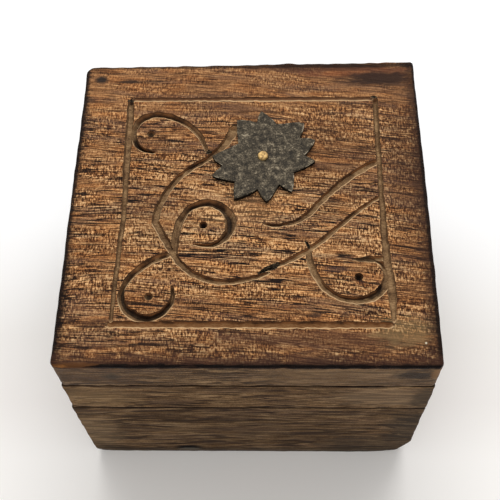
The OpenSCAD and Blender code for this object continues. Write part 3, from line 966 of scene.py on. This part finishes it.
# Marks for stained(), which on_face() completes. The last two of the top lie on its front edge.
TOP_MARKS = on_face(Z, top_z, [
    ((24, 16), (16, 24, 6), (92, 60, 38), 0.34, 0.5),
    ((-8, 36), (44, 8, 6), (100, 66, 42), 0.22, 0.5),
    # A painted sheen, paler in the middle
    ((-2, -2), (20, 8, 6), (214, 160, 108), 0.14, 0.5),
    ((-24, -4), (16, 9, 6), (92, 62, 42), 0.3, 0.6),
    ((10, -46), (80, 9, 6), (62, 40, 28), 0.35, 0.5),
    ((30, 46), (48, 8, 6), (84, 54, 36), 0.25, 0.5),
    ((half_w, 10), (16, 60, 6), (70, 46, 32), 0.3, 0.5),
    ((33, 47.5), (24, 3, 6), (124, 66, 40), 0.5, 0.6),
    ((39.5, 45.0), (17, 4.2, 6), (48, 32, 25), 0.95, 0.45),
    ((47, 14), (9, 36, 6), (66, 42, 30), 0.32, 0.6),
    ((20, 49.5), (30, 2.6, 6), (72, 44, 30), 0.75, 0.6),
    ((20, -42.5), (42, 3.5, 6), (88, 56, 38), 0.55, 0.7),
    ((-40, -38.2), (8, 2.0, 6), (60, 40, 30), 0.7, 0.7),
    # A painted sheen near the front right
    ((42, -40), (12, 6, 6), (140, 116, 78), 0.45, 0.6),
    ((31, 1.5), (3.5, 1.6, 6), (74, 46, 32), 0.6, 0.6),
    ((24.4, -21.9), (4.5, 1.3, 6), (54, 42, 42), 0.7, 0.5),
    ((18.4, -35.6), (2.4, 1.1, 6), (62, 44, 34), 0.8, 0.5),
    ((26.3, -35.6), (2.0, 1.1, 6), (62, 44, 34), 0.7, 0.5),
    ((-46.2, 45.0), (3.0, 2.0, 6), (48, 38, 32), 1.0, 0.3),
    ((-37.5, 44.1), (5.4, 0.9, 6), (46, 33, 26), 0.9, 0.4),
    ((-half_w, 26), (2.8, 34, 4), CHAR_AND_SHADE, 0.75, 0.7),
    ((-29.5, 44.3), (4.5, 0.6, 6), (60, 42, 30), 0.7, 0.4),
    ((-half_w, 0), (1.5, FAR, 4), CHAR_AND_SHADE, 0.9, 0.5),
    ((-half_w, -34), (3.4, 42, 4), CHAR_AND_SHADE, 0.8, 0.7),
    ((half_w, 0), (4.2, FAR, 4), (50, 31, 22), 0.75, 0.8),
    ((half_w, 0), (1.2, FAR, 4), CHAR_AND_SHADE, 0.9, 0.5),
    ((0, -half_d), (FAR, 5.0, 5.0), (66, 42, 32), 0.75, 0.9),
    ((0, -half_d), (FAR, 1.9, 3.0), (50, 30, 22), 0.75, 0.6),
    ((0, -half_d), (FAR, 0.8, 1.6), (8, 4, 3), 0.95, 0.9),
    ((0, half_d), (FAR, 1.4, 2.0), CHAR_AND_SHADE, 0.8, 0.3),
    # A painted glint
    ((47.2, -43.6), (0.4, 0.4, 6), (225, 212, 184), 0.9, 0.2),
]) + [
    ((-46, -50.2, top_z - 0.4), (9, 1.3, 1.3), (104, 66, 36), 0.7, 1.0),
    ((-48.4, -50.4, top_z - 0.3), (1.8, 0.8, 0.7), (150, 98, 50), 0.6, 1.0),
]
SIDE_MARKS = on_face(Y, -half_d, [
    ((26, 70), (34, 6, 12), (136, 108, 78), 0.35, 0.5),
    ((-44, 70), (22, 6, 10), (70, 50, 38), 0.35, 0.6),
    ((-36, 70), (3.5, 6, 3.2), (56, 52, 46), 0.55, 0.5),
    ((44.5, 71.5), (8, 6, 4.6), (44, 34, 27), 0.9, 0.5),
    ((50.5, 72), (2.4, 4, 5), (132, 96, 62), 0.8, 0.6),
])
GROOVE_MARKS = on_face(Z, top_z, [
    ((0, 37.5), (FAR, 1.8, FAR), (100, 62, 36), 0.8, 0.2),
    ((0, -38.4), (FAR, 1.8, FAR), (112, 68, 30), 0.6, 0.2),
])
# Painted shade in the eyes and in the deep turns of the grooves
GROOVE_SHADE_MARKS = on_face(Z, top_z, [((x, y), (1.2, 1.2, FAR), CHAR_AND_SHADE, 0.85, 0.3) for x, y, deep in EYES] + [
    ((35.8, -26.6), (1.3, 4.2, FAR), CHAR_AND_SHADE, 0.8, 0.4),
    ((32.5, -18.9), (5.5, 1.5, FAR), (62, 46, 30), 0.75, 0.3),
    ((-33.5, 18.6), (1.2, 3.0, FAR), CHAR_AND_SHADE, 0.7, 0.4),
    ((-4.6, -7.6), (0.8, 4.5, FAR), CHAR_AND_SHADE, 0.55, 0.5),
])

LID_CORNERS = [(-1, -1, 1.8), (1, -1, 1.8), (-1, 1, 2.6), (1, 1, 1.2)]
LID_SKEW = (0.55, -1.55)
GROOVE_SLOT, BURN_SLOT = 1, 2  # materials of the lid board, after that of its faces


def lid_board():
    """The lid board, carved by cutters that bring their own material along."""
    made = board("lid_board", *spread("lid_board", "lid"), SEEDS["lid"], step=0.75, radius=0.7, wear=0.12,
                 upright=LID_CORNERS, skew=LID_SKEW)
    materials = [lid_wood(TOP_MARKS, SIDE_MARKS), groove_wood(GROOVE_MARKS, GROOVE_SHADE_MARKS), burnt_wood()]
    for material in materials:
        coated(made, material)
    cutters = carving_cutters()
    for cutter in cutters:
        for material in (None, *materials[1:]):
            coated(cutter, material)
        slot = BURN_SLOT if cutter.name.startswith("burn") else GROOVE_SLOT
        cutter.data.polygons.foreach_set("material_index", [slot] * len(cutter.data.polygons))
    add_piece(cut(made, cutters), "lid_board", "lid")


lid_board()

# -------- flower and pin

# Tips of the petals and valleys after them: (direction in degrees, reach from the pin)
PETALS = [(92.4, 15.5), (122.4, 14.4), (183.4, 14.8), (207.6, 16.5), (242.8, 17.7),
          (274.1, 16.7), (302.1, 15.6), (349.6, 15.5), (377.1, 16.1), (401.8, 16.4)]
VALLEYS = [(99.3, 11.6), (152.1, 8.2), (199, 12.4), (229.8, 12.5), (263, 12.5),
           (293.4, 11.6), (324.6, 11.0), (357.3, 12.1), (387.8, 12.3), (428.5, 11.5)]
SIDE_POINTS = 9  # along each side of a petal
PETAL_BOW = 0.035  # how far a petal's side bows out, as a share of its reach
# The flower's rings, outward on top and back below: shares of the way out and of the thickness
TOP_RINGS = [(share, 1.0) for share in (0.0, 0.15, 0.3, 0.45, 0.6, 0.74, 0.86, 0.94, 0.98)] + [(1.0, 0.85)]
LOWER_RINGS = [(1.0, 0.05), (0.99, 0.0), (0.5, 0.0), (0.0, 0.0)]
TIP_LIFT, LIFT_START, LIFT_RUN = 0.5, 9, 8  # the petals are bent up beyond a radius
HAMMERING, HAMMER_SIZE, HAMMER_SEED = 0.07, 3.5, 71
PIN_SHANK = 0.4  # the shank's radius as a share of the head's
iron_low, iron_high = BOX["flower"]
pin_low, pin_high = BOX["flower_pin"]
flower_at = (pin_low + pin_high)[:2] / 2
head_r = (pin_high[X] - pin_low[X]) / 2


def polar(turn, reach):
    return reach * np.array([math.cos(math.radians(turn)), math.sin(math.radians(turn))])


def flower_outline():
    """Points round the flower, about its pin."""
    points = []
    for i, tip in enumerate(PETALS):
        for a, b in ((VALLEYS[i - 1], tip), (tip, VALLEYS[i])):
            t = np.linspace(0, 1, SIDE_POINTS, endpoint=False)[:, None]
            line = polar(*a) + t * (polar(*b) - polar(*a))
            points.append(line * (1 + PETAL_BOW * 4 * t * (1 - t)))
    return np.concatenate(points)


def flower():
    """A star cut from sheet iron, hammered, with soft edges, and flat underneath."""
    outline = flower_outline()
    reach = np.linalg.norm(outline, axis=1)
    thick = iron_high[Z] - iron_low[Z]
    hole = head_r * PIN_SHANK
    n = len(outline)
    rings = []
    for share, height in TOP_RINGS + LOWER_RINGS:
        radius = hole + share * (reach - hole)
        flat = outline / reach[:, None] * radius[:, None]
        points = np.concatenate([flat, np.zeros((n, 1))], 1)
        lift = TIP_LIFT * smooth((radius - LIFT_START) / LIFT_RUN)
        dent = HAMMERING * ripple(points, HAMMER_SIZE, HAMMER_SEED)
        on_top = (share, height) in TOP_RINGS
        points[:, 2] = height * thick + (lift + dent if on_top else 0)
        rings.append(points)
    points = np.concatenate(rings) + (*flower_at, iron_low[Z])
    rows = len(rings)
    faces = []
    for row in range(rows):
        a, b = row * n, (row + 1) % rows * n
        faces += [(a + i, b + i, b + (i + 1) % n, a + (i + 1) % n) for i in range(n)]
    return add_mesh("flower", points, faces)


add_piece(coated(flower(), iron()), "flower", "lid")

PIN_DRIFT = (0, -0.8, 0)  # the pin was not driven quite in the middle
head_z = iron_high[Z]
head_h = pin_high[Z] - head_z
# The head's section as shares of its radius and height, with the set hammered into it
HEAD = [(0, 0.82), (0.2, 0.84), (0.34, 0.97), (0.6, 1.0), (0.84, 0.94), (0.96, 0.8), (1.0, 0.6), (1.0, 0.0)]
HEAD_SUNK, HEAD_FOOT = 0.1, 0.92  # the head's depth in the iron, and its foot's share of the radius
foot_z = head_z - HEAD_SUNK
profile = [(head_r * r, head_z + head_h * z) for r, z in HEAD]
profile += [(head_r * HEAD_FOOT, foot_z), (head_r * PIN_SHANK, foot_z), (head_r * PIN_SHANK, pin_low[Z]),
            (0, pin_low[Z])]
made = lathe("flower_pin", profile, np.array((*flower_at, 0)) + PIN_DRIFT)
add_piece(coated(made, brass()), "flower_pin", "lid")

# -------- camera, light and floor

# The camera was fitted to the corners of the box in the photograph, a frame of 500 x 500 pixels.
CAMERA_AT = Vector((7.65, -136.58, 294.98)) * MM
YAW, PITCH, ROLL = (math.radians(a) for a in (3.24, 60.96, -2.92))  # to the left, down, and about its view
FOCAL_PIXELS, FRAME_PIXELS = 897.8, 500
SENSOR = 36.0

camera = bpy.data.objects.new("camera", bpy.data.cameras.new("camera"))
camera.data.sensor_width = SENSOR
camera.data.lens = FOCAL_PIXELS / FRAME_PIXELS * SENSOR
aim = Matrix.Rotation(YAW, 4, "Z") @ Matrix.Rotation(math.pi / 2 - PITCH, 4, "X")
camera.matrix_world = Matrix.Translation(CAMERA_AT) @ aim @ Matrix.Rotation(ROLL, 4, "Z")
scene.collection.objects.link(camera)
scene.camera = camera
scene.view_settings.view_transform = "Standard"

LAMPS = {"key": ((50, 650, 800), 1000, 8.6), "fill": ((0, -750, 800), 900, 2.5)}  # place, size and watts
LAMP_AIM = Vector((0, 0, 40)) * MM
WORLD_STRENGTH = 0.5


def lamp(name, place, size, power):
    light = bpy.data.lights.new(name, "AREA")
    light.size = size * MM
    light.energy = power
    made = bpy.data.objects.new(name, light)
    made.location = Vector(place) * MM
    made.rotation_euler = (LAMP_AIM - made.location).to_track_quat("-Z", "Y").to_euler()
    scene.collection.objects.link(made)


for name, (place, size, power) in LAMPS.items():
    lamp(name, place, size, power)

world = bpy.data.worlds.new("world")
world.use_nodes = True
background = world.node_tree.nodes["Background"]
background.inputs["Color"].default_value = (1, 1, 1, 1)
background.inputs["Strength"].default_value = WORLD_STRENGTH
scene.world = world

FLOOR_HALF, FLOOR_THICK, FLOOR_GAP = 3000, 20, 0.02
# The floor's colour is painted a little darker near the box, as painted shade, between these values of y
FLOOR_NEAR, FLOOR_FAR = -120, 120
FLOOR_PAINTED_SHADE = [(0.19, (255, 252, 248)), (0.3, (246, 242, 238)), (0.45, (243, 240, 236)),
               (0.75, (254, 254, 254))]


def floor():
    made = block("floor", (-FLOOR_HALF, -FLOOR_HALF, -FLOOR_THICK), (FLOOR_HALF, FLOOR_HALF, -FLOOR_GAP))
    s = Nodes("floor")
    share = s.span(s.axes(s.place)[Y], FLOOR_NEAR, FLOOR_FAR)
    coated(made, s.finish(s.ramp(share, FLOOR_PAINTED_SHADE), 0.9))


floor()
